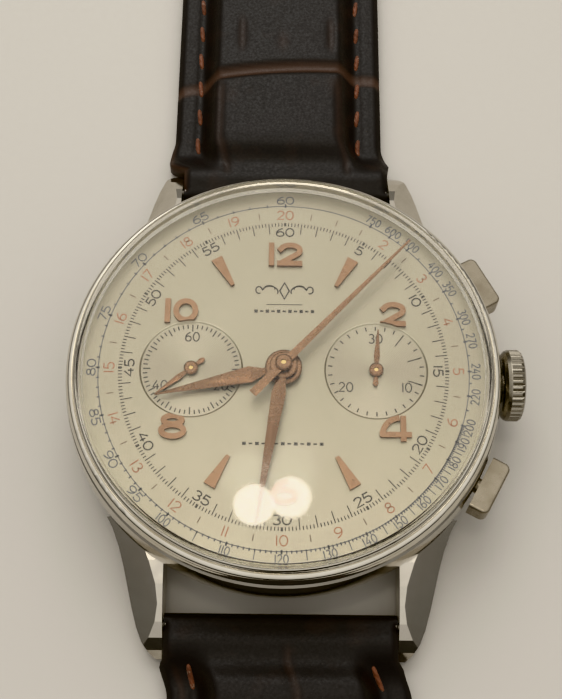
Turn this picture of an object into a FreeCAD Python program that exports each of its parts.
import FreeCAD, Part
import math
import os

# Two-register wrist chronograph on a two-piece leather strap, lying face up.
# Millimetres. Origin: centre of the case back's flat face. +Z is out of the
# dial, +Y is 12 o'clock, +X is 3 o'clock (the crown side).

V = FreeCAD.Vector
X_AXIS, Y_AXIS, Z_AXIS = V(1, 0, 0), V(0, 1, 0), V(0, 0, 1)
FIT = 0.02            # radial play between pieces that sit in each other
RUN = 0.05            # radial play where something turns or slides

# ---- case -------------------------------------------------------------
CASE_R = 19.2         # widest radius of the case band
CASE_BORE_R = 16.4    # inside, where the movement goes
CASE_BOTTOM_Z = 0.9
BAND_LOW_Z = 4.7      # lower edge of the bright band above the lugs
BAND_TOP_Z = 8.25
DIAL_SEAT_R = 17.7
DIAL_SEAT_Z = 8.2
NECK_R = 18.35        # neck that the bezel snaps over
NECK_TOP_Z = 8.9
BACK_R = 17.4
BACK_FLAT_R = 14.0
BACK_FLOOR_Z = 1.0
BACK_TOP_Z = 1.7

BEZEL_R = 18.95
BEZEL_TOP_Z = 10.3
CRYSTAL_R = 17.9
CRYSTAL_EDGE_Z = 11.1
CRYSTAL_TOP_Z = 12.5
CRYSTAL_THICK = 0.8
CRYSTAL_WALL = 0.45

# ---- lugs and spring bars ---------------------------------------------
LUG_INNER_X = 10.05   # half of the 20.1 mm gap
LUG_TIP_Y = 23.75
BAR_Y = 21.05         # spring-bar axis
BAR_Z = 2.5
BAR_R = 0.65
BAR_PIN_R = 0.4

# ---- dial and hands ---------------------------------------------------
DIAL_R = 17.6
DIAL_Z = 8.6          # face of the dial
SUB_X = 8.05          # both sub-dials, left and right of the centre
SUB_R = 4.5
SUB_DEPTH = 0.12
HOUR_HAND_Z = 9.1
MINUTE_HAND_Z = 9.6
CHRONO_HAND_Z = 10.05
SMALL_HAND_Z = 8.7
HOUR_ANGLE = 256.5    # clockwise from 12, as the hands stand
MINUTE_ANGLE = 188.8
CHRONO_ANGLE = 42.9
SMALL_SECONDS_ANGLE = 231.0
COUNTER_ANGLE = 3.5

# ---- crown and pushers ------------------------------------------------
STEM_Z = 5.6
CROWN_R = 3.2
CROWN_X0, CROWN_X1 = 19.35, 21.4
CROWN_FLUTES = 36
FLUTE_DEPTH = 0.16
FLUTE_STEPS = 8       # outline points from one flute to the next
TUBE_R = 1.4
PUSHER_ANGLE = 28.5
PUSHER_Z = 5.2        # stem axis
PUSHER_CAP_Z = (4.45, 6.8)
PUSHER_OUT_R = 21.2
PUSHER_IN_R = 19.45
PUSHER_WIDTH = 5.0
PUSHER_STEM_R = 0.7
PUSHER_TRAVEL = 0.9

# ---- movement layers, from the case back up ---------------------------
MOVEMENT_R = 15.5
CHRONO_BRIDGE_Z = (1.3, 1.7)
CHRONO_WHEEL_Z = (1.95, 2.2)
LEVER_Z = (2.3, 2.65)
RATCHET_Z = (2.75, 3.1)
BRIDGE_Z = (3.25, 3.8)
CENTRE_WHEEL_Z = (3.87, 4.05)
THIRD_WHEEL_Z = (4.35, 4.53)
FOURTH_WHEEL_Z = (4.72, 4.88)
ESCAPE_WHEEL_Z = (5.08, 5.24)
PLATE_Z = (5.4, 6.6)
MOTION_LOW_Z = (6.72, 6.98)
MOTION_HIGH_Z = (7.15, 7.42)
PIVOT_R = 0.12
JEWEL_R = 0.6

# ---- gear train: teeth and module -------------------------------------
CENTRE_WHEEL = (80, 0.12)
THIRD_PINION = (10, 0.12)
THIRD_WHEEL = (75, 0.11)
FOURTH_PINION = (10, 0.11)
FOURTH_WHEEL = (80, 0.085)
ESCAPE_PINION = (8, 0.085)
BARREL_TEETH = (78, 0.13)
CENTRE_PINION = (12, 0.13)
RATCHET_TEETH = (66, 0.15)
CROWN_TEETH = (31, 0.15)
WINDING_TEETH = (14, 0.15)
CANNON_TEETH = (12, 0.1)
MINUTE_TEETH = (36, 0.1)
MINUTE_PINION = (10, 0.096)
HOUR_TEETH = (40, 0.096)
ESCAPE_TEETH = 15
ESCAPE_R = 2.2

# ---- strap ------------------------------------------------------------
STRAP_END_R = 1.0     # rolled end around the spring bar
STRAP_NECK = 19.5     # width between the lugs
STRAP_WIDE = 20.7
STRAP_NARROW = 18.0
NECK_LENGTH = 3.2     # the strap widens this far from the bar
SEGMENT_GAP = 0.1
UPPER_BREAKS = (26.0, 50.0, 77.0)
LOWER_BREAKS = (38.0, 76.0, 115.0)
UPPER_TAPER_END = 74.0
LOWER_TAPER_END = 92.0
THIN_FROM = 51.8      # from here to the buckle the upper half is thin and lifted
BUCKLE_Z = 2.3
BUCKLE_BAR_R = 0.75
BUCKLE_END_R = 1.15
BUCKLE_INNER_X = 9.3
BUCKLE_OUTER_X = 11.0
BUCKLE_LENGTH = 12.5
TONGUE_WIDTH = 2.2
KEEPER_WALL = 0.9
FIXED_KEEPER_S = (67.5, 72.0)
FREE_KEEPER_S = (57.0, 61.5)
HOLE_R = 1.0
HOLE_FIRST, HOLE_STEP, HOLE_COUNT = 62.0, 6.0, 7


# =======================================================================
# Shape helpers
# =======================================================================
def cyl(r, z0, z1, at=(0, 0)):
    """Upright cylinder."""
    return Part.makeCylinder(r, z1 - z0, V(at[0], at[1], z0))


def tube(r_out, r_in, z0, z1, at=(0, 0)):
    """Upright tube or washer."""
    return cyl(r_out, z0, z1, at).cut(cyl(r_in, z0 - 1, z1 + 1, at))


def rod(r, start, end):
    """Cylinder between two points."""
    start, end = V(*start), V(*end)
    return Part.makeCylinder(r, (end - start).Length, start, end - start)


def box(x0, x1, y0, y1, z0, z1):
    """Box from its limits."""
    return Part.makeBox(x1 - x0, y1 - y0, z1 - z0, V(x0, y0, z0))


def prism(points, z0, z1):
    """Upright prism on a polygon."""
    loop = [V(x, y, z0) for x, y in points]
    face = Part.Face(Part.makePolygon(loop + loop[:1]))
    return face.extrude(V(0, 0, z1 - z0))


def side_prism(points, x0, x1):
    """Prism along X on a polygon of (y, z) points."""
    loop = [V(x0, y, z) for y, z in points]
    face = Part.Face(Part.makePolygon(loop + loop[:1]))
    return face.extrude(V(x1 - x0, 0, 0))


def turned(profile, at=(0, 0)):
    """Solid of revolution about Z. A third value in a point bulges the
    edge that leaves it: the arc's middle, given as a point."""
    edges = []
    for i, point in enumerate(profile):
        following = profile[(i + 1) % len(profile)]
        a = V(point[0], 0, point[1])
        b = V(following[0], 0, following[1])
        if len(point) == 3:
            edges.append(Part.Arc(a, V(point[2][0], 0, point[2][1]), b).toShape())
        else:
            edges.append(Part.LineSegment(a, b).toShape())
    face = Part.Face(Part.Wire(edges))
    solid = face.revolve(V(0, 0, 0), Z_AXIS, 360)
    solid.translate(V(at[0], at[1], 0))
    return solid


def fused(shapes):
    """One solid from several that touch or overlap."""
    first, rest = shapes[0], shapes[1:]
    if rest:
        first = first.fuse(rest)
    return first.removeSplitter()


def group(shapes):
    """Separate solids that share one node."""
    return Part.makeCompound(shapes)


def polar(r, degrees, centre=(0, 0)):
    """Point at an anticlockwise angle from +X."""
    a = math.radians(degrees)
    return (centre[0] + r * math.cos(a), centre[1] + r * math.sin(a))


def clock(r, degrees, centre=(0, 0)):
    """Point at a clockwise angle from +Y, as on a dial."""
    return polar(r, 90 - degrees, centre)


def spun(shape, degrees, centre=(0, 0)):
    """Copy turned anticlockwise about an upright axis."""
    copy = shape.copy()
    copy.rotate(V(centre[0], centre[1], 0), Z_AXIS, degrees)
    return copy


def direction(a, b):
    """Angle of the line from a to b, in degrees."""
    return math.degrees(math.atan2(b[1] - a[1], b[0] - a[0]))


def pitch_r(teeth):
    """Pitch radius of a (count, module) gear."""
    return teeth[0] * teeth[1] / 2


def meeting(a, reach_a, b, reach_b, side):
    """The point reach_a from a and reach_b from b, on one side of a-b."""
    gap = math.dist(a, b)
    along = (reach_a ** 2 - reach_b ** 2 + gap ** 2) / (2 * gap)
    off = math.sqrt(reach_a ** 2 - along ** 2) * side
    ux, uy = (b[0] - a[0]) / gap, (b[1] - a[1]) / gap
    return (a[0] + along * ux - off * uy, a[1] + along * uy + off * ux)


def gear(teeth, z, at, phase=0.0):
    """Spur gear; a tooth's middle points along phase (degrees)."""
    count, module = teeth
    r = pitch_r(teeth)
    root, tip = r - 1.15 * module, r + 0.85 * module
    step = 360 / count
    flank = ((root, -0.31), (r, -0.235), (tip, -0.11), (tip, 0.11), (r, 0.235), (root, 0.31))
    points = []
    for i in range(count):
        for radius, turn in flank:
            points.append(polar(radius, phase + (i + turn) * step, at))
    return prism(points, *z)


def gap_phase(count, angle):
    """Phase that puts the middle of a gap, not a tooth, along angle."""
    return angle + 180 / count


def spoked(wheel, at, z, rim_r, hub_r, arms, arm_width):
    """Cuts the windows between a wheel's arms."""
    window = tube(rim_r, hub_r, z[0] - 0.1, z[1] + 0.1, at)
    for i in range(arms):
        arm = box(0, rim_r + 1, -arm_width / 2, arm_width / 2, z[0] - 1, z[1] + 1)
        arm.translate(V(at[0], at[1], 0))
        window = window.cut(spun(arm, i * 360 / arms + 45, at))
    return wheel.cut(window)


def arbor(at, z0, z1, r, pivot=0.35):
    """Shaft from z0 to z1 with a thin pivot beyond each end."""
    return fused([cyl(r, z0, z1, at), cyl(PIVOT_R, z0 - pivot, z1 + pivot, at)])


def link(a, b, width, z):
    """Flat bar with round ends."""
    length = math.dist(a, b)
    bar = box(0, length, -width / 2, width / 2, *z)
    bar.rotate(V(0, 0, 0), Z_AXIS, direction(a, b))
    bar.translate(V(a[0], a[1], 0))
    return fused([bar, cyl(width / 2, *z, a), cyl(width / 2, *z, b)])


def chain(points, width, z):
    """Flat bar along several points."""
    return fused([link(a, b, width, z) for a, b in zip(points, points[1:])])


def radial(shape, degrees):
    """Turns a shape made along +X onto a radius of the case."""
    return spun(shape, degrees)


# =======================================================================
# Where the arbors stand
# =======================================================================
CENTRE = (0.0, 0.0)
FOURTH_AT = (-SUB_X, 0.0)
COUNTER_AT = (SUB_X, 0.0)
THIRD_AT = meeting(CENTRE, pitch_r(CENTRE_WHEEL) + pitch_r(THIRD_PINION),
                   FOURTH_AT, pitch_r(THIRD_WHEEL) + pitch_r(FOURTH_PINION), 1)
ESCAPE_AT = polar(pitch_r(FOURTH_WHEEL) + pitch_r(ESCAPE_PINION), 95, FOURTH_AT)
PALLET_AT = polar(2.54, 60, ESCAPE_AT)
BALANCE_AT = polar(5.84, 60, ESCAPE_AT)
BARREL_AT = polar(pitch_r(BARREL_TEETH) + pitch_r(CENTRE_PINION), 46)
CROWN_WHEEL_AT = polar(pitch_r(RATCHET_TEETH) + pitch_r(CROWN_TEETH), -23.5, BARREL_AT)
MINUTE_WHEEL_AT = polar(pitch_r(CANNON_TEETH) + pitch_r(MINUTE_TEETH), -60)
CLICK_AT = polar(6.3, 115, BARREL_AT)
SETTING_AT = (13.6, -4.2)
LEVER_AT = (9.5, 9.3)
HAMMER_AT = (9.5, -9.3)
LEVER_TAB = (12.45, 6.76)
HAMMER_TAB = (12.45, -6.76)
WINDING_X = (12.1, 13.4)


# =======================================================================
# Case
# =======================================================================
def lug():
    """The lug at 4-5 o'clock: a claw that narrows and drops to its tip."""
    plan = [(LUG_INNER_X, -12.0), (16.9, -9.0), (15.75, -11.1), (14.7, -13.0),
            (14.05, -14.7), (13.6, -16.3), (13.2, -18.0), (12.8, -19.7),
            (12.35, -21.3), (11.85, -22.5), (11.25, -23.3), (10.65, -LUG_TIP_Y),
            (LUG_INNER_X, -LUG_TIP_Y)]
    side = [(-12.0, 5.2), (-14.0, 5.15), (-16.0, 5.0), (-18.0, 4.7), (-19.6, 4.25),
            (-21.0, 3.6), (-22.2, 2.8), (-23.1, 1.95), (-LUG_TIP_Y, 1.15), (-23.45, 0.6),
            (-22.5, 0.3), (-20.0, 0.35), (-17.0, 0.8), (-12.0, 1.2)]
    claw = prism(plan, 0, 8).common(side_prism(side, 9, 18))
    # The outer facet leans away from a ridge that runs down to the tip.
    corners = [V(9.7, -8.0, 9.02), V(19.0, -8.0, 9.02), V(19.0, -8.0, 2.82)]
    facet = Part.Face(Part.makePolygon(corners + corners[:1]))
    return claw.cut(facet.extrude(V(-3.4, -17.0, -3.97)))


def mirrored(shape, normal):
    """Mirror copy through the origin."""
    return shape.mirror(V(0, 0, 0), normal)


def pusher_pocket():
    """Flat-bottomed recess that the pusher's cap sinks into."""
    half = PUSHER_WIDTH / 2 + 0.15
    depth_r = PUSHER_IN_R - PUSHER_TRAVEL - 0.2
    low, high = PUSHER_CAP_Z
    return box(depth_r, 21, -half, half, low - 0.15, high + 0.15)


def make_case_middle():
    ring = turned([(CASE_BORE_R, 1.75), (17.45, 1.75), (17.45, CASE_BOTTOM_Z),
                   (17.9, CASE_BOTTOM_Z, (18.55, 2.4)), (CASE_R - 0.25, BAND_LOW_Z),
                   (CASE_R - 0.02, BAND_LOW_Z + 0.15, (CASE_R + 0.05, 6.5)),
                   (CASE_R - 0.15, BAND_TOP_Z - 0.2), (CASE_R - 0.4, BAND_TOP_Z), (NECK_R, BAND_TOP_Z),
                   (NECK_R, NECK_TOP_Z), (DIAL_SEAT_R, NECK_TOP_Z), (DIAL_SEAT_R, DIAL_SEAT_Z),
                   (CASE_BORE_R, DIAL_SEAT_Z)])
    right = lug()
    left = mirrored(right, X_AXIS)
    lugs = [right, left, mirrored(right, Y_AXIS), mirrored(left, Y_AXIS)]
    keep_out = cyl(17.6, -1, 9)
    body = ring.fuse([one.cut(keep_out) for one in lugs])
    for side in (1, -1):
        y = side * BAR_Y
        body = body.cut(rod(BAR_PIN_R + FIT, (-11.2, y, BAR_Z), (11.2, y, BAR_Z)))
    body = body.cut(rod(TUBE_R, (15, 0, STEM_Z), (21, 0, STEM_Z)))
    for angle in (PUSHER_ANGLE, -PUSHER_ANGLE):
        body = body.cut(radial(pusher_pocket(), angle))
        body = body.cut(radial(rod(1.25, (15, 0, PUSHER_Z), (20, 0, PUSHER_Z)), angle))
    return body.removeSplitter()


def make_bezel():
    inner = CRYSTAL_R + FIT
    foot = BAND_TOP_Z + 0.06
    return turned([(NECK_R + FIT, foot), (BEZEL_R - 0.2, foot, (BEZEL_R, 8.8)),
                   (BEZEL_R - 0.12, 9.35, (BEZEL_R - 0.3, 9.72)),
                   (BEZEL_R - 0.6, 9.84), (BEZEL_R - 0.66, 9.8),
                   (BEZEL_R - 0.7, 9.9, (BEZEL_R - 0.84, 10.2)),
                   (inner + 0.05, BEZEL_TOP_Z), (inner, BEZEL_TOP_Z),
                   (inner, NECK_TOP_Z + 0.02), (NECK_R + FIT, NECK_TOP_Z + 0.02)])


def make_crystal():
    rise = CRYSTAL_TOP_Z - CRYSTAL_EDGE_Z
    edge_r = CRYSTAL_R - 0.35
    radius = (edge_r ** 2 + rise ** 2) / (2 * rise)
    outer = Part.makeSphere(radius, V(0, 0, CRYSTAL_TOP_Z - radius))
    inner_radius = radius - CRYSTAL_THICK
    inner = Part.makeSphere(inner_radius, V(0, 0, CRYSTAL_TOP_Z - radius))
    block = turned([(0, NECK_TOP_Z + 0.02), (CRYSTAL_R, NECK_TOP_Z + 0.02), (CRYSTAL_R, CRYSTAL_EDGE_Z - 0.35,
                    (CRYSTAL_R - 0.1, CRYSTAL_EDGE_Z - 0.08)), (edge_r, CRYSTAL_EDGE_Z + 0.05),
                    (edge_r - 1, CRYSTAL_TOP_Z + 1), (0, CRYSTAL_TOP_Z + 1)])
    hollow = cyl(CRYSTAL_R - CRYSTAL_WALL, 0, CRYSTAL_TOP_Z).common(inner)
    return block.common(outer).cut(hollow)


def make_case_back():
    shell = turned([(0, 0), (BACK_FLAT_R, 0), (BACK_FLAT_R + 1.2, 0.12), (BACK_R - 0.3, 0.45),
                    (BACK_R, 0.75), (BACK_R, BACK_TOP_Z), (BACK_R - 1.0, BACK_TOP_Z),
                    (BACK_R - 1.25, BACK_FLOOR_Z), (0, BACK_FLOOR_Z)])
    for i in range(6):
        notch = box(BACK_FLAT_R + 1.7, BACK_FLAT_R + 2.9, -0.8, 0.8, -1, 0.55)
        shell = shell.cut(spun(notch, i * 60 + 30))
    return shell


def make_back_gasket():
    return tube(BACK_R - 0.1, BACK_R - 0.9, BACK_TOP_Z + 0.005, BACK_TOP_Z + 0.045)


def make_case_tubes():
    crown_tube = rod(TUBE_R - 0.01, (16.5, 0, STEM_Z), (20.4, 0, STEM_Z))
    crown_tube = crown_tube.cut(rod(0.7, (15, 0, STEM_Z), (21, 0, STEM_Z)))
    tubes = [crown_tube]
    for angle in (PUSHER_ANGLE, -PUSHER_ANGLE):
        one = rod(1.24, (16.5, 0, PUSHER_Z), (18.3, 0, PUSHER_Z))
        one = one.cut(rod(PUSHER_STEM_R + RUN, (15, 0, PUSHER_Z), (21, 0, PUSHER_Z)))
        tubes.append(radial(one, angle))
    return group(tubes)


# =======================================================================
# Crown, stem and pushers
# =======================================================================
def along_x(shape):
    """Lays a shape that stands on the XY plane down along +X at stem height."""
    shape.rotate(V(0, 0, 0), Y_AXIS, 90)
    shape.translate(V(0, 0, STEM_Z))
    return shape


def make_crown():
    dome = CROWN_X1 - 0.17
    body = turned([(0, CROWN_X0 + 0.3), (1.75, CROWN_X0 + 0.3), (1.75, CROWN_X0),
                   (CROWN_R - 0.7, CROWN_X0), (CROWN_R - 0.4, CROWN_X0 + 0.1),
                   (CROWN_R - 0.12, CROWN_X0 + 0.32), (CROWN_R, CROWN_X0 + 0.6), (CROWN_R, dome - 0.4),
                   (CROWN_R - 0.14, dome - 0.15), (CROWN_R - 0.45, dome, (2.0, CROWN_X1 - 0.06)),
                   (1.0, CROWN_X1), (0, CROWN_X1)])
    outline = []
    for i in range(CROWN_FLUTES * FLUTE_STEPS):
        wave = math.cos(math.pi * i / FLUTE_STEPS) ** 2
        outline.append(polar(CROWN_R - FLUTE_DEPTH * wave ** 2, i * 360 / (CROWN_FLUTES * FLUTE_STEPS)))
    ridges = prism(outline, CROWN_X0 + 0.65, CROWN_X1 + 1)
    body = body.common(fused([ridges, cyl(CROWN_R, CROWN_X0 - 1, CROWN_X0 + 0.65)]))
    body = body.cut(cyl(1.75, CROWN_X0 - 1, CROWN_X0 + 0.7))
    body = body.cut(cyl(TUBE_R + RUN, CROWN_X0 - 1, CROWN_X0 + 1.3))
    body = body.cut(cyl(0.6, CROWN_X0 - 1, CROWN_X0 + 1.7))
    return along_x(body)


def make_crown_gasket():
    return along_x(tube(1.72, TUBE_R + 0.02, CROWN_X0 + 0.2, CROWN_X0 + 0.6))


def make_winding_stem():
    shaft = fused([cyl(0.58, 13.6, CROWN_X0 + 1.68), cyl(0.36, 9.4, 13.6)])
    groove = tube(1.0, 0.42, 14.3, 14.7)
    return along_x(shaft.cut(groove))


def make_pusher(angle):
    """Rectangular cap with rounded outer corners, on a round stem."""
    half = PUSHER_WIDTH / 2
    cap = box(PUSHER_IN_R, PUSHER_OUT_R, -half, half, *PUSHER_CAP_Z)
    edges = []
    for edge in cap.Edges:
        middle = edge.BoundBox.Center
        if abs(middle.x - PUSHER_OUT_R) < 0.01 and abs(abs(middle.y) - half) < 0.01:
            edges.append(edge)
    cap = cap.makeFillet(0.6, edges)
    rim = [e for e in cap.Edges if e.BoundBox.XMax > PUSHER_IN_R + 0.1 and e.BoundBox.ZLength < 0.01]
    cap = cap.makeFillet(0.25, rim)
    stem = rod(PUSHER_STEM_R, (14.95, 0, PUSHER_Z), (PUSHER_IN_R + 0.2, 0, PUSHER_Z))
    return radial(fused([cap, stem]), angle)


# =======================================================================
# Dial and hands
# =======================================================================
def make_dial():
    dial = cyl(DIAL_R, DIAL_SEAT_Z + 0.005, DIAL_Z)
    for x in (-SUB_X, SUB_X):
        dish = turned([(0, DIAL_Z - SUB_DEPTH), (SUB_R - SUB_DEPTH, DIAL_Z - SUB_DEPTH),
                       (SUB_R + 0.02, DIAL_Z + 0.02), (SUB_R + 0.02, DIAL_Z + 1), (0, DIAL_Z + 1)], (x, 0))
        dial = dial.cut(dish).cut(cyl(0.4, 8, 9, (x, 0)))
    return dial.cut(cyl(1.3, 8, 9))


def stroke(points, width, z):
    """Pen line with round joins and square-cut ends."""
    pieces = []
    for a, b in zip(points, points[1:]):
        bar = box(0, math.dist(a, b), -width / 2, width / 2, *z)
        bar.rotate(V(0, 0, 0), Z_AXIS, direction(a, b))
        bar.translate(V(a[0], a[1], 0))
        pieces.append(bar)
    closed = math.dist(points[0], points[-1]) < 0.001
    joins = points[1:] if closed else points[1:-1]
    return pieces + [cyl(width / 2, *z, at) for at in joins]


def arc_points(centre, rx, ry, a0, a1, steps=10):
    """Points along part of an ellipse."""
    turns = [math.radians(a0 + (a1 - a0) * i / steps) for i in range(steps + 1)]
    return [(centre[0] + rx * math.cos(t), centre[1] + ry * math.sin(t)) for t in turns]


def digit_paths(name):
    """Pen paths of a wide numeral, 2 units high, and its width."""
    if name == "1":
        return 0.0, [[(0, -0.25), (0, 2.25)]]
    if name == "2":
        bowl = arc_points((1.05, 1.42), 0.95, 0.58, 165, -38)
        return 2.0, [[(-0.1, 1.38)] + bowl + [(0.22, 0.1)], [(-0.25, 0.0), (2.22, 0.0)]]
    if name == "4":
        slope = arc_points((1.6, 0.3), 1.6, 1.72, 175, 104, 8)
        cross = [(0.0, 0.75), (0.0, 0.4), (2.72, 0.4)]
        return 2.4, [slope + [(1.6, 2.05)], cross, [(1.95, 2.25), (1.95, -0.25)]]
    if name == "6":
        loop = arc_points((1.0, 0.6), 1.0, 0.6, 0, 360, 20)
        back = arc_points((1.75, 0.72), 1.75, 1.28, 104, 178)
        return 2.0, [loop, back]
    if name == "8":
        low = arc_points((1.05, 0.56), 1.05, 0.56, 0, 360, 20)
        high = arc_points((1.05, 1.6), 0.86, 0.42, 0, 360, 18)
        return 2.1, [low, high]
    loop = arc_points((0.94, 1.0), 0.94, 1.0, 0, 360, 20)
    return 1.88, [loop]


def numeral(text, at, height, pen, z):
    """Upright numeral centred on a point."""
    scale = (height - pen) / 2
    spacing = 0.25 + pen
    paths = [digit_paths(name) for name in text]
    total = sum(width * scale for width, _ in paths) + spacing * (len(paths) - 1)
    x = at[0] - total / 2
    solids = []
    for width, strokes in paths:
        pieces = []
        for path in strokes:
            moved = [(x + px * scale, at[1] + (py - 1) * scale) for px, py in path]
            pieces += stroke(moved, pen, z)
        solids.append(fused(pieces))
        x += width * scale + spacing
    return solids


def make_applied_markers():
    z = (DIAL_Z + 0.005, DIAL_Z + 0.3)
    pieces = []
    places = {"12": (0.08, 11.1), "2": (9.6, 5.3), "4": (9.57, -5.4), "6": (0.15, -11.1),
              "8": (-9.42, -5.4), "10": (-9.08, 5.43)}
    for text, at in places.items():
        pieces += numeral(text, at, 2.32, 0.49, z)
    for hour in (1, 5, 7, 11):
        inner, outer = 9.2, 12.25
        wedge = prism([(-0.17, inner), (-0.53, outer), (0.53, outer), (0.17, inner)], *z)
        pieces.append(spun(wedge, -hour * 30))
    # The numerals beside the sub-dials are trimmed where they would overhang them.
    trims = [cyl(SUB_R + 0.05, 8, 10, (x, 0)) for x in (-SUB_X, SUB_X)]
    kept = []
    for piece in pieces:
        for trim in trims:
            piece = piece.cut(trim)
        kept += piece.Solids
    return group(kept)


def blade(stations, z, angle, centre=(0, 0)):
    """Hand's blade with a flat underside and a ridge along its middle.
    Stations are (distance out, half width, height of the ridge)."""
    under, ridge = [], []
    for out, half, height in stations:
        under.append((V(-half, out, z), V(half, out, z)))
        ridge.append((V(-half, out, z + 0.05), V(half, out, z + 0.05), V(0, out, z + 0.05 + height)))
    faces = []

    def face(*corners):
        loop = list(corners)
        faces.append(Part.Face(Part.makePolygon(loop + loop[:1])))

    for i in range(len(stations) - 1):
        la, ra = under[i]
        lb, rb = under[i + 1]
        lta, rta, ta = ridge[i]
        ltb, rtb, tb = ridge[i + 1]
        face(la, ra, rb)
        face(la, rb, lb)
        face(la, lb, ltb)
        face(la, ltb, lta)
        face(ra, rta, rtb)
        face(ra, rtb, rb)
        face(lta, ltb, tb)
        face(lta, tb, ta)
        face(rta, ta, tb)
        face(rta, tb, rtb)
    for i in (0, -1):
        left, right = under[i]
        left_top, right_top, top = ridge[i]
        face(left, right, right_top)
        face(left, right_top, top)
        face(left, top, left_top)
    solid = Part.Solid(Part.Shell(faces))
    if solid.Volume < 0:
        solid.reverse()
    solid.translate(V(centre[0], centre[1], 0))
    return spun(solid, -angle, centre)


def make_hour_hand():
    z = HOUR_HAND_Z
    arm = blade([(1.0, 0.42, 0.06), (1.75, 0.3, 0.1), (2.95, 0.76, 0.2), (7.0, 0.42, 0.15),
                 (11.35, 0.05, 0.03)], z, HOUR_ANGLE)
    hub = turned([(1.14, z), (1.6, z), (1.6, z + 0.16), (1.48, z + 0.24), (1.14, z + 0.24)])
    return fused([arm.cut(cyl(1.3, 8, 11)), hub])


def make_minute_hand():
    z = MINUTE_HAND_Z
    arm = blade([(0.8, 0.36, 0.06), (1.4, 0.4, 0.1), (2.6, 0.62, 0.15), (8.0, 0.38, 0.12),
                 (14.3, 0.06, 0.03)], z, MINUTE_ANGLE)
    hub = turned([(0.6, z), (1.2, z), (1.2, z + 0.16), (1.1, z + 0.22), (0.6, z + 0.22)])
    return fused([arm.cut(cyl(0.8, 8, 11)), hub])


def make_chrono_hand():
    z = CHRONO_HAND_Z
    arm = blade([(-3.85, 0.38, 0.03), (-1.2, 0.36, 0.05), (0.0, 0.36, 0.05), (16.4, 0.1, 0.02)],
                z, CHRONO_ANGLE)
    hub = turned([(0.24, z), (0.72, z), (0.72, z + 0.36), (0.6, z + 0.45), (0.24, z + 0.45)])
    return fused([arm.cut(cyl(0.4, 8, 11)), hub])


def small_hand(at, angle, tip, tail, tail_half):
    """Leaf-shaped hand of a sub-dial, with a short paddle behind."""
    z = SMALL_HAND_Z
    arm = blade([(-tail, 0.1, 0.02), (-tail + 0.25, tail_half, 0.03), (-0.55, 0.14, 0.04), (0.55, 0.16, 0.04),
                 (1.35, 0.26, 0.06), (tip, 0.05, 0.02)], z, angle, at)
    hub = turned([(0.2, z), (0.62, z), (0.62, z + 0.18), (0.5, z + 0.26), (0.2, z + 0.26)], at)
    return fused([arm.cut(cyl(0.4, 8, 11, at)), hub])


# =======================================================================
# Movement: plate, bridges and what holds them
# =======================================================================
UPPER_PIVOTS = [THIRD_AT, FOURTH_AT, ESCAPE_AT]     # run in the train bridge
FEET = {"barrel": [(9.0, 10.3), (-0.8, 13.2)], "train": [(-4.0, -12.4), (-12.4, -5.8), (2.6, -12.6)]}
COCK_FOOT = (-11.5, 7.9)
CHRONO_FOOT = (8.0, -10.9)


def make_movement_ring():
    ring = tube(CASE_BORE_R - FIT, MOVEMENT_R + 0.04, 2.4, DIAL_SEAT_Z - 0.1)
    ring = ring.cut(rod(1.0, (14, 0, STEM_Z), (17, 0, STEM_Z)))
    for angle in (PUSHER_ANGLE, -PUSHER_ANGLE):
        ring = ring.cut(radial(rod(PUSHER_STEM_R + 0.1, (14, 0, PUSHER_Z), (17, 0, PUSHER_Z)), angle))
    return ring


def make_main_plate():
    plate = cyl(14.75, *PLATE_Z).fuse(tube(MOVEMENT_R, 14.7, 6.0, PLATE_Z[1]))
    plate = plate.cut(cyl(0.62, 5, 7)).cut(cyl(0.32, 5, 7, COUNTER_AT))
    for at in (THIRD_AT, FOURTH_AT, ESCAPE_AT, PALLET_AT, BALANCE_AT):
        plate = plate.cut(cyl(JEWEL_R, 5, 7, at))
    plate = plate.cut(cyl(0.62, 5, 7, BARREL_AT))
    plate = plate.cut(box(9.1, 15.6, -1.35, 1.35, 4, 7))
    plate = plate.cut(cyl(0.9, 5, 5.7, BALANCE_AT))
    for tab in (LEVER_TAB, HAMMER_TAB):
        plate = plate.cut(cyl(1.9, 5, 5.75, tab))
    for angle in (PUSHER_ANGLE, -PUSHER_ANGLE):
        plate = plate.cut(radial(rod(PUSHER_STEM_R + 0.1, (13.5, 0, PUSHER_Z), (16, 0, PUSHER_Z)), angle))
    return plate.removeSplitter()


def make_barrel_bridge():
    outline = [(0.75, 1.1), (6.2, 0.9), (7.4, 1.6), (7.9, 3.6), (9.4, 5.0), (9.9, 8.0), (11.5, 12.0),
               (-2.6, 16.0), (-2.3, 8.2), (-0.3, 3.0)]
    plate = prism(outline, *BRIDGE_Z).common(cyl(14.7, 3, 4))
    pillars = [cyl(0.9, BRIDGE_Z[0], PLATE_Z[0], at) for at in FEET["barrel"]]
    plate = fused([plate] + pillars)
    plate = plate.cut(cyl(0.95, 3, 4, BARREL_AT)).cut(cyl(0.8, 3, 4))
    return plate.cut(cyl(1.4, 3, 5, LEVER_AT))


def make_train_bridge():
    outline = [(0.55, 1.0), (1.9, 0.2), (2.2, -6.0), (4.4, -16.0), (-8.0, -16.0), (-16.0, -6.0),
               (-16.0, 1.8), (-11.0, 5.2), (-6.9, 4.9), (-5.8, 1.8), (-0.7, 1.4)]
    plate = prism(outline, *BRIDGE_Z).common(cyl(14.7, 3, 4))
    plate = fused([plate] + [cyl(0.9, BRIDGE_Z[0], PLATE_Z[0], at) for at in FEET["train"]])
    plate = plate.cut(cyl(0.6, 3, 4))
    for at in UPPER_PIVOTS:
        plate = plate.cut(cyl(JEWEL_R, 3, 4, at))
    # The barrel bridge takes the other side of the centre.
    return plate.cut(make_barrel_bridge())


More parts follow.
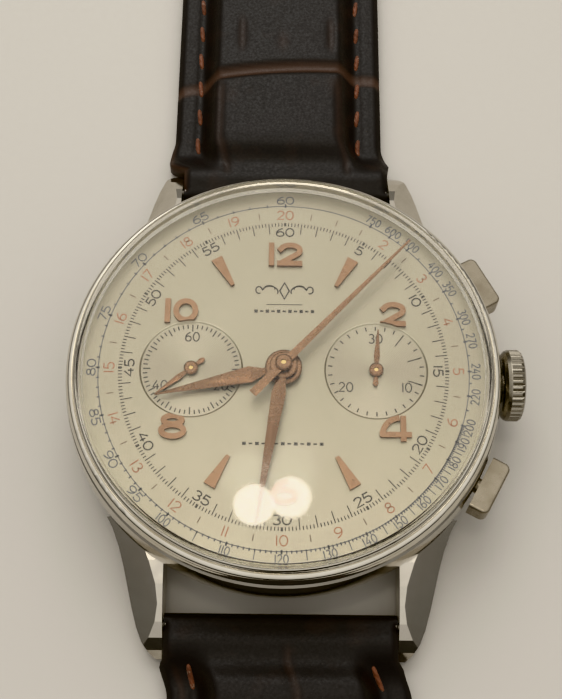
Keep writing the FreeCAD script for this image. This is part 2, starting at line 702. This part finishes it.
def make_balance_cock():
    arm = fused([link(COCK_FOOT, BALANCE_AT, 1.3, BRIDGE_Z), cyl(1.25, *BRIDGE_Z, BALANCE_AT)])
    foot = cyl(0.65, BRIDGE_Z[0], PLATE_Z[0], COCK_FOOT)
    return fused([arm, foot]).cut(cyl(JEWEL_R, 3, 4, BALANCE_AT))


def make_pallet_bridge():
    a, b = (-4.3, 5.1), (-9.9, 6.4)
    bar = chain([a, PALLET_AT, b], 0.9, (4.84, 4.98))
    feet = [cyl(0.45, 4.84, PLATE_Z[0], at) for at in (a, b)]
    return fused([bar] + feet).cut(cyl(0.3, 4, 5.05, PALLET_AT))


def make_chronograph_bridge():
    ends = [(-1.5, -7.2), (-0.4, -2.6), CENTRE, COUNTER_AT, CHRONO_FOOT]
    bar = chain(ends, 2.2, CHRONO_BRIDGE_Z)
    near = cyl(0.8, CHRONO_BRIDGE_Z[0], BRIDGE_Z[0], ends[0])
    far = cyl(0.7, CHRONO_BRIDGE_Z[0], PLATE_Z[0], ends[-1])
    bridge = fused([bar, near, far])
    for at in (CENTRE, COUNTER_AT):
        bridge = bridge.cut(cyl(JEWEL_R, 1, 2, at))
    return bridge


def make_jewels():
    """Pierced bearings: in the bridges, the plate and the chronograph bridge."""
    places = [(at, 3.35, 3.75) for at in UPPER_PIVOTS + [BALANCE_AT]]
    places += [(at, 5.95, 6.4) for at in (THIRD_AT, ESCAPE_AT, PALLET_AT, BALANCE_AT)]
    places += [(at, 1.35, 1.65) for at in (CENTRE, COUNTER_AT)]
    return group([tube(JEWEL_R - 0.01, PIVOT_R + 0.02, z0, z1, at) for at, z0, z1 in places])


def make_movement_screws():
    """Bridge screws: slotted heads on the back of the bridges and cock."""
    seats = [(at, BRIDGE_Z[0]) for at in FEET["barrel"] + FEET["train"]]
    seats += [(COCK_FOOT, BRIDGE_Z[0]), (CHRONO_FOOT, CHRONO_BRIDGE_Z[0])]
    screws = []
    for at, z in seats:
        head = cyl(0.55, z - 0.21, z - 0.005, at)
        head = head.cut(box(at[0] - 1, at[0] + 1, at[1] - 0.08, at[1] + 0.08, z - 0.3, z - 0.12))
        screws.append(head)
    return group(screws)


# =======================================================================
# Movement: power, winding and setting
# =======================================================================
def make_barrel_drum():
    r = pitch_r(BARREL_TEETH)
    wall = tube(r - 0.25, r - 0.5, 4.15, 5.3, BARREL_AT)
    floor = tube(r - 0.25, 0.6, 4.15, 4.3, BARREL_AT)
    phase = gap_phase(BARREL_TEETH[0], direction(BARREL_AT, CENTRE))
    teeth = gear(BARREL_TEETH, (5.05, 5.3), BARREL_AT, phase).cut(cyl(0.6, 5, 6, BARREL_AT))
    return fused([wall, floor, teeth])


def make_mainspring():
    """Coiled strip: one closed spiral band between the arbor and the wall."""
    turns, r0, r1, thick = 8.5, 1.35, 4.4, 0.13
    steps = int(turns * 24)
    inner, outer = [], []
    for i in range(steps + 1):
        a = 2 * math.pi * turns * i / steps
        r = r0 + (r1 - r0) * i / steps
        x, y = BARREL_AT[0] + r * math.cos(a), BARREL_AT[1] + r * math.sin(a)
        inner.append((x, y))
        outer.append((x + thick * math.cos(a), y + thick * math.sin(a)))
    return prism(inner + outer[::-1], 4.4, 4.98)


def make_barrel_arbor():
    core = cyl(1.1, 4.35, 5.0, BARREL_AT)
    shaft = cyl(0.55, 3.12, 6.3, BARREL_AT)
    return fused([shaft, core, cyl(0.9, 3.12, 3.86, BARREL_AT)])


def make_ratchet_wheel():
    phase = direction(BARREL_AT, CROWN_WHEEL_AT)
    wheel = gear(RATCHET_TEETH, RATCHET_Z, BARREL_AT, phase)
    screw = cyl(1.1, RATCHET_Z[0] - 0.08, RATCHET_Z[0] + 0.02, BARREL_AT)
    return fused([wheel, screw])


def make_crown_wheel():
    at = CROWN_WHEEL_AT
    phase = gap_phase(CROWN_TEETH[0], direction(at, BARREL_AT))
    flat = gear(CROWN_TEETH, RATCHET_Z, at, phase)
    drum = cyl(1.95, RATCHET_Z[0], 4.05, at)
    crest = gear(CROWN_TEETH, (4.0, 4.35), at, phase).cut(cyl(1.6, 3, 5, at))
    bore = cyl(0.5, 2, 5, at)
    return fused([flat, drum, tube(1.95, 1.6, 4.0, 4.2, at), crest]).cut(bore)


def make_winding_pinion():
    """Winding and sliding pinions, side by side on the stem."""
    pinion = gear(WINDING_TEETH, (WINDING_X[0] + 0.45, WINDING_X[1]), (0, 0))
    clutch = cyl(0.75, WINDING_X[0] - 0.9, WINDING_X[0] + 0.5)
    clutch = clutch.cut(tube(1, 0.55, WINDING_X[0] - 0.5, WINDING_X[0] - 0.1))
    return along_x(fused([pinion, clutch]).cut(cyl(0.36 + RUN, 9, 15)))


def make_click():
    beak = polar(5.35, 99, BARREL_AT)
    arm = chain([CLICK_AT, beak], 0.42, (RATCHET_Z[0], RATCHET_Z[1] - 0.05))
    return fused([arm, cyl(0.55, RATCHET_Z[0] - 0.05, RATCHET_Z[1], CLICK_AT)])


def make_setting_lever():
    end = (13.75, -1.0)
    arm = chain([SETTING_AT, (13.2, -2.6), end], 0.7, (4.35, 4.75))
    return fused([arm, cyl(0.55, 4.3, 5.3, SETTING_AT)])


# =======================================================================
# Movement: going train
# =======================================================================
def make_centre_wheel():
    wheel = gear(CENTRE_WHEEL, CENTRE_WHEEL_Z, CENTRE, direction(CENTRE, THIRD_AT))
    wheel = spoked(wheel, CENTRE, CENTRE_WHEEL_Z, 4.1, 1.1, 5, 0.45)
    pinion = gear(CENTRE_PINION, (4.9, 5.38), CENTRE, direction(CENTRE, BARREL_AT))
    shaft = cyl(0.55, 3.3, 7.9)
    return fused([wheel, pinion, shaft]).cut(cyl(0.28, 2, 9))


def make_third_wheel():
    pinion_z = (CENTRE_WHEEL_Z[0] - 0.03, CENTRE_WHEEL_Z[1] + 0.15)
    pinion = gear(THIRD_PINION, pinion_z, THIRD_AT, gap_phase(10, direction(THIRD_AT, CENTRE)))
    wheel = gear(THIRD_WHEEL, THIRD_WHEEL_Z, THIRD_AT, direction(THIRD_AT, FOURTH_AT))
    wheel = spoked(wheel, THIRD_AT, THIRD_WHEEL_Z, 3.5, 0.9, 4, 0.4)
    return fused([pinion, wheel, arbor(THIRD_AT, 3.84, 5.9, 0.3)])


def make_fourth_wheel():
    pinion_z = (THIRD_WHEEL_Z[0] - 0.1, THIRD_WHEEL_Z[1] + 0.1)
    pinion = gear(FOURTH_PINION, pinion_z, FOURTH_AT, gap_phase(10, direction(FOURTH_AT, THIRD_AT)))
    wheel = gear(FOURTH_WHEEL, FOURTH_WHEEL_Z, FOURTH_AT, direction(FOURTH_AT, ESCAPE_AT))
    wheel = spoked(wheel, FOURTH_AT, FOURTH_WHEEL_Z, 2.9, 0.8, 4, 0.35)
    long_pivot = cyl(0.18, 5, SMALL_HAND_Z + 0.15, FOURTH_AT)
    return fused([pinion, wheel, arbor(FOURTH_AT, 3.84, 5.9, 0.28), long_pivot])


def make_escape_wheel():
    """Fifteen raked teeth on a spoked rim, with its pinion."""
    z = ESCAPE_WHEEL_Z
    step = 360 / ESCAPE_TEETH
    points = []
    for i in range(ESCAPE_TEETH):
        for r, turn in ((1.62, 0.0), (ESCAPE_R, 0.42), (ESCAPE_R - 0.12, 0.6), (1.62, 0.42)):
            points.append(polar(r, (i + turn) * step, ESCAPE_AT))
    wheel = spoked(prism(points, *z), ESCAPE_AT, z, 1.35, 0.5, 4, 0.25)
    pinion_z = (FOURTH_WHEEL_Z[0] - 0.06, FOURTH_WHEEL_Z[1] + 0.08)
    pinion = gear(ESCAPE_PINION, pinion_z, ESCAPE_AT, gap_phase(8, direction(ESCAPE_AT, FOURTH_AT)))
    return fused([wheel, pinion, arbor(ESCAPE_AT, 3.84, 5.9, 0.2)])


def make_pallet_fork():
    """Anchor with two arms to the escape wheel and a fork to the balance."""
    z = (5.06, 5.3)
    out = direction(PALLET_AT, BALANCE_AT)
    fork_end = polar(2.35, out, PALLET_AT)
    arms = [chain([PALLET_AT, polar(1.55, out + side * 118, PALLET_AT)], 0.34, z) for side in (1, -1)]
    horns = [link(fork_end, polar(2.72, out + side * 7, PALLET_AT), 0.16, z) for side in (1, -1)]
    shaft = fused([link(PALLET_AT, fork_end, 0.3, z)] + arms + horns)
    return fused([shaft, arbor(PALLET_AT, 5.05, 5.9, 0.22, 0.3)])


def make_balance_wheel():
    rim_z = (4.25, 4.62)
    rim = tube(4.5, 4.05, *rim_z, BALANCE_AT)
    arms = [spun(box(BALANCE_AT[0] - 4.2, BALANCE_AT[0] + 4.2, BALANCE_AT[1] - 0.25, BALANCE_AT[1] + 0.25,
                     4.3, 4.5), 25, BALANCE_AT)]
    screws = [cyl(0.17, 4.15, 4.72, polar(4.3, i * 30 + 10, BALANCE_AT)) for i in range(12)]
    staff = arbor(BALANCE_AT, 3.84, 5.9, 0.25)
    roller = cyl(0.5, 5.05, 5.3, BALANCE_AT)
    return fused([rim] + arms + screws + [staff, roller])


def make_hairspring():
    """Flat spiral beside the balance staff."""
    turns, r0, r1, thick = 9, 0.55, 2.5, 0.06
    steps = turns * 24
    inner, outer = [], []
    for i in range(steps + 1):
        a = 2 * math.pi * turns * i / steps
        r = r0 + (r1 - r0) * i / steps
        x, y = BALANCE_AT[0] + r * math.cos(a), BALANCE_AT[1] + r * math.sin(a)
        inner.append((x, y))
        outer.append((x + thick * math.cos(a), y + thick * math.sin(a)))
    coil = prism(inner + outer[::-1], 3.92, 4.08)
    collet = tube(0.62, 0.27, 3.92, 4.08, BALANCE_AT)
    return fused([coil, collet])


# =======================================================================
# Movement: motion works and chronograph works
# =======================================================================
def make_cannon_pinion():
    phase = direction(CENTRE, MINUTE_WHEEL_AT)
    pinion = gear(CANNON_TEETH, MOTION_LOW_Z, CENTRE, phase)
    pipe = cyl(0.78, MOTION_LOW_Z[1] - 0.02, MINUTE_HAND_Z - 0.1)
    seat = cyl(0.59, MINUTE_HAND_Z - 0.2, MINUTE_HAND_Z + 0.2)
    body = fused([pinion, pipe, seat])
    return body.cut(cyl(0.56, 6, 7.95)).cut(cyl(0.28, 6, 11))


def make_minute_wheel():
    at = MINUTE_WHEEL_AT
    back = direction(at, CENTRE)
    wheel = gear(MINUTE_TEETH, MOTION_LOW_Z, at, gap_phase(36, back))
    pinion = gear(MINUTE_PINION, (MOTION_LOW_Z[1] - 0.02, MOTION_HIGH_Z[1] + 0.05), at, back)
    return fused([wheel, pinion]).cut(cyl(0.2, 6, 8, at))


def make_hour_wheel():
    phase = gap_phase(40, direction(CENTRE, MINUTE_WHEEL_AT))
    wheel = gear(HOUR_TEETH, MOTION_HIGH_Z, CENTRE, phase)
    pipe = cyl(1.12, MOTION_HIGH_Z[0], HOUR_HAND_Z + 0.2)
    return fused([wheel, pipe]).cut(cyl(0.83, 7, 10))


def heart(at, z):
    """Heart-shaped return cam."""
    points = []
    for i in range(36):
        a = i * 10
        fold = abs(180 - a) / 180
        points.append(polar(0.42 + 0.5 * (1 - fold), a, at))
    return prism(points, *z)


def make_chronograph_wheel():
    wheel = gear((120, 0.066), CHRONO_WHEEL_Z, CENTRE)
    wheel = spoked(wheel, CENTRE, CHRONO_WHEEL_Z, 3.4, 0.9, 5, 0.35)
    shaft = fused([cyl(0.22, 1.75, CHRONO_HAND_Z + 0.3), cyl(PIVOT_R, 1.35, 1.8)])
    return fused([wheel, shaft, heart(CENTRE, (CHRONO_WHEEL_Z[1] - 0.02, 2.5))])


def make_minute_counter_wheel():
    at = COUNTER_AT
    wheel = gear((60, 0.086), CHRONO_WHEEL_Z, at)
    wheel = spoked(wheel, at, CHRONO_WHEEL_Z, 2.2, 0.8, 4, 0.3)
    shaft = fused([cyl(0.18, 1.75, SMALL_HAND_Z + 0.15, at), cyl(PIVOT_R, 1.35, 1.8, at)])
    return fused([wheel, shaft, heart(at, (CHRONO_WHEEL_Z[1] - 0.02, 2.5))])


def make_operating_lever():
    flat = chain([LEVER_TAB, LEVER_AT, (4.6, 11.2)], 1.0, LEVER_Z)
    tab = cyl(0.5, LEVER_Z[0], 5.5, LEVER_TAB)
    return fused([flat, cyl(0.75, *LEVER_Z, LEVER_AT), tab])


def make_return_hammer():
    flat = chain([HAMMER_TAB, HAMMER_AT, (12.0, -4.6), (11.3, -0.5)], 1.0, LEVER_Z)
    tab = cyl(0.5, LEVER_Z[0], 5.5, HAMMER_TAB)
    return fused([flat, cyl(0.75, *LEVER_Z, HAMMER_AT), tab])


# =======================================================================
# Strap, buckle and keepers. side is +1 for the 12 o'clock half.
# =======================================================================
def strap_width(s, taper_end):
    """Full width at a distance s from the spring bar."""
    start = 26.0
    if s <= start:
        return STRAP_WIDE
    share = min(1.0, (s - start) / (taper_end - start))
    return STRAP_WIDE + (STRAP_NARROW - STRAP_WIDE) * share


def strap_plan(s0, s1, taper_end, side, z=(-1, 9)):
    """Tapering block between two distances from the spring bar."""
    a, b = strap_width(s0, taper_end) / 2, strap_width(s1, taper_end) / 2
    y0, y1 = side * (BAR_Y + s0), side * (BAR_Y + s1)
    return prism([(-a, y0), (a, y0), (b, y1), (-b, y1)], *z)


def strap_side(points, side):
    """Full-width block from a side view of (s, z) points."""
    return side_prism([(side * (BAR_Y + s), z) for s, z in points], -12, 12)


def first_segment(end_s, end_top, taper_end, side):
    """From the rolled end on the spring bar out to the first bend."""
    side_view = [(0, BAR_Z + STRAP_END_R), (2.6, 4.2), (6.0, 4.5), (12.0, 4.4), (end_s, end_top),
                 (end_s, 0.0), (6.5, 0.0), (3.2, 0.5), (0, BAR_Z - STRAP_END_R)]
    wide = strap_side(side_view, side).common(strap_plan(NECK_LENGTH, end_s, taper_end, side))
    y0, y1 = sorted((side * BAR_Y, side * (BAR_Y + NECK_LENGTH + 0.1)))
    neck = strap_side(side_view, side).common(box(-STRAP_NECK / 2, STRAP_NECK / 2, y0, y1, -1, 9))
    roll = rod(STRAP_END_R, (-STRAP_NECK / 2, side * BAR_Y, BAR_Z), (STRAP_NECK / 2, side * BAR_Y, BAR_Z))
    bore = rod(BAR_R + RUN, (-15, side * BAR_Y, BAR_Z), (15, side * BAR_Y, BAR_Z))
    return fused([wide, neck, roll]).cut(bore)


def make_strap_upper(index):
    """Buckle half: three lengths that bend against each other."""
    first, second, last = UPPER_BREAKS
    if index == 1:
        return first_segment(first, 3.9, UPPER_TAPER_END, 1)
    if index == 2:
        view = [(first + SEGMENT_GAP, 3.9), (second, 3.1), (second, 0.0), (first + SEGMENT_GAP, 0.0)]
        return strap_side(view, 1).common(strap_plan(first, second, UPPER_TAPER_END, 1))
    start = second + SEGMENT_GAP
    view = [(start, 3.1), (THIN_FROM, 3.75), (last - 3, 3.6), (last, BUCKLE_Z + BUCKLE_END_R),
            (last, BUCKLE_Z - BUCKLE_END_R), (THIN_FROM, 1.15), (start, 0.0)]
    body = strap_side(view, 1).common(strap_plan(second, last, UPPER_TAPER_END, 1))
    y = BAR_Y + last
    half = STRAP_NARROW / 2
    body = fused([body, rod(BUCKLE_END_R, (-half, y, BUCKLE_Z), (half, y, BUCKLE_Z))])
    body = body.cut(rod(BUCKLE_BAR_R + RUN, (-15, y, BUCKLE_Z), (15, y, BUCKLE_Z)))
    slot = TONGUE_WIDTH / 2 + 0.35
    return body.cut(box(-slot, slot, y - 3.2, y + 3, -1, 9))


def make_strap_lower(index):
    """Tail half, with the row of buckle holes and a rounded tip."""
    first, second, last = LOWER_BREAKS
    if index == 1:
        return first_segment(first, 3.3, LOWER_TAPER_END, -1)
    if index == 2:
        start, end, top0, top1 = first + SEGMENT_GAP, second, 3.3, 2.5
    else:
        start, end, top0, top1 = second + SEGMENT_GAP, last, 2.5, 2.1
    view = [(start, top0), (end, top1), (end, 0.0), (start, 0.0)]
    body = strap_side(view, -1).common(strap_plan(start, end, LOWER_TAPER_END, -1))
    if index == 3:
        round_r = 11.5
        tip = fused([cyl(round_r, -1, 9, (0, -(BAR_Y + last - round_r))),
                     box(-12, 12, -(BAR_Y + last - round_r), 0, -1, 9)])
        body = body.common(tip)
    for i in range(HOLE_COUNT):
        s = HOLE_FIRST + i * HOLE_STEP
        if start < s < end:
            body = body.cut(cyl(HOLE_R, -1, 9, (0, -(BAR_Y + s))))
    return body


def make_spring_bars():
    bars = []
    for side in (1, -1):
        y = side * BAR_Y
        body = rod(BAR_R, (-9.85, y, BAR_Z), (9.85, y, BAR_Z))
        pins = rod(BAR_PIN_R, (-10.9, y, BAR_Z), (10.9, y, BAR_Z))
        bars.append(fused([body, pins]))
    return group(bars)


def make_buckle_frame():
    """Stirrup frame with the bar that the strap's end is rolled around."""
    y = BAR_Y + UPPER_BREAKS[2]
    end = y + BUCKLE_LENGTH
    side = side_prism([(y - 1.3, BUCKLE_Z + 1.0), (y + 1.3, BUCKLE_Z + 1.0), (end, 2.1), (end, 0.0),
                       (end - 3, 0.0), (y, BUCKLE_Z - 1.0), (y - 1.3, BUCKLE_Z - 0.9)], -12, 12)
    outer = box(-BUCKLE_OUTER_X, BUCKLE_OUTER_X, y - 1.3, end, -1, 9)
    corners = [e for e in outer.Edges if e.BoundBox.ZLength > 5]
    outer = outer.makeFillet(1.2, corners)
    gap = box(-BUCKLE_INNER_X, BUCKLE_INNER_X, y - 3, end - 2.0, -1, 9)
    frame = side.common(outer).cut(gap)
    bar = rod(BUCKLE_BAR_R, (-BUCKLE_INNER_X - 0.5, y, BUCKLE_Z), (BUCKLE_INNER_X + 0.5, y, BUCKLE_Z))
    return fused([frame, bar])


def make_buckle_tongue():
    y = BAR_Y + UPPER_BREAKS[2]
    half = TONGUE_WIDTH / 2
    eye = rod(BUCKLE_BAR_R + 0.6, (-half, y, BUCKLE_Z), (half, y, BUCKLE_Z))
    tip = y + BUCKLE_LENGTH + 0.4
    arm = side_prism([(y, BUCKLE_Z + 1.35), (y + 6, BUCKLE_Z + 1.1), (tip, 2.95), (tip, 2.4), (y + 9.8, 2.55),
                      (y + 2, BUCKLE_Z + 0.1), (y, BUCKLE_Z)], -half, half)
    tongue = fused([eye, arm])
    return tongue.cut(rod(BUCKLE_BAR_R + RUN, (-5, y, BUCKLE_Z), (5, y, BUCKLE_Z)))


def make_keeper(reach):
    """Leather loop around the strap, with room for the tail above it."""
    y0, y1 = BAR_Y + reach[0], BAR_Y + reach[1]
    inner_x = strap_width(reach[0], UPPER_TAPER_END) / 2 + 0.3
    outer_x = inner_x + KEEPER_WALL
    outer = box(-outer_x, outer_x, y0, y1, 0.0, 7.2)
    outer = outer.makeFillet(1.0, [e for e in outer.Edges if e.BoundBox.YLength > 3])
    inner = box(-inner_x, inner_x, y0 - 1, y1 + 1, KEEPER_WALL, 7.2 - KEEPER_WALL)
    return outer.cut(inner)


# =======================================================================
# All nodes
# =======================================================================
NODES = {
    "case_middle": make_case_middle,
    "bezel": make_bezel,
    "crystal": make_crystal,
    "case_back": make_case_back,
    "back_gasket": make_back_gasket,
    "case_tubes": make_case_tubes,
    "crown": make_crown,
    "crown_gasket": make_crown_gasket,
    "winding_stem": make_winding_stem,
    "pusher_top": lambda: make_pusher(PUSHER_ANGLE),
    "pusher_bottom": lambda: make_pusher(-PUSHER_ANGLE),
    "dial": make_dial,
    "applied_markers": make_applied_markers,
    "hour_hand": make_hour_hand,
    "minute_hand": make_minute_hand,
    "chrono_seconds_hand": make_chrono_hand,
    "small_seconds_hand": lambda: small_hand(FOURTH_AT, SMALL_SECONDS_ANGLE, 3.95, 1.45, 0.24),
    "minute_counter_hand": lambda: small_hand(COUNTER_AT, COUNTER_ANGLE, 3.85, 1.5, 0.26),
    "movement_ring": make_movement_ring,
    "main_plate": make_main_plate,
    "barrel_bridge": make_barrel_bridge,
    "train_bridge": make_train_bridge,
    "balance_cock": make_balance_cock,
    "pallet_bridge": make_pallet_bridge,
    "chronograph_bridge": make_chronograph_bridge,
    "jewels": make_jewels,
    "movement_screws": make_movement_screws,
    "barrel_drum": make_barrel_drum,
    "mainspring": make_mainspring,
    "barrel_arbor": make_barrel_arbor,
    "ratchet_wheel": make_ratchet_wheel,
    "crown_wheel": make_crown_wheel,
    "winding_pinion": make_winding_pinion,
    "click": make_click,
    "setting_lever": make_setting_lever,
    "centre_wheel": make_centre_wheel,
    "third_wheel": make_third_wheel,
    "fourth_wheel": make_fourth_wheel,
    "escape_wheel": make_escape_wheel,
    "pallet_fork": make_pallet_fork,
    "balance_wheel": make_balance_wheel,
    "hairspring": make_hairspring,
    "cannon_pinion": make_cannon_pinion,
    "minute_wheel": make_minute_wheel,
    "hour_wheel": make_hour_wheel,
    "chronograph_wheel": make_chronograph_wheel,
    "minute_counter_wheel": make_minute_counter_wheel,
    "operating_lever": make_operating_lever,
    "return_hammer": make_return_hammer,
    "strap_upper_1": lambda: make_strap_upper(1),
    "strap_upper_2": lambda: make_strap_upper(2),
    "strap_upper_3": lambda: make_strap_upper(3),
    "strap_lower_1": lambda: make_strap_lower(1),
    "strap_lower_2": lambda: make_strap_lower(2),
    "strap_lower_3": lambda: make_strap_lower(3),
    "spring_bars": make_spring_bars,
    "buckle_frame": make_buckle_frame,
    "buckle_tongue": make_buckle_tongue,
    "fixed_keeper": lambda: make_keeper(FIXED_KEEPER_S),
    "free_keeper": lambda: make_keeper(FREE_KEEPER_S),
}

os.makedirs("parts", exist_ok=True)
for node, make in NODES.items():
    shape = make()
    shape.exportStep("parts/%s.step" % node)
    print("%-22s solids %d  valid %s  volume %.3f" % (node, len(shape.Solids), shape.isValid(), shape.Volume))
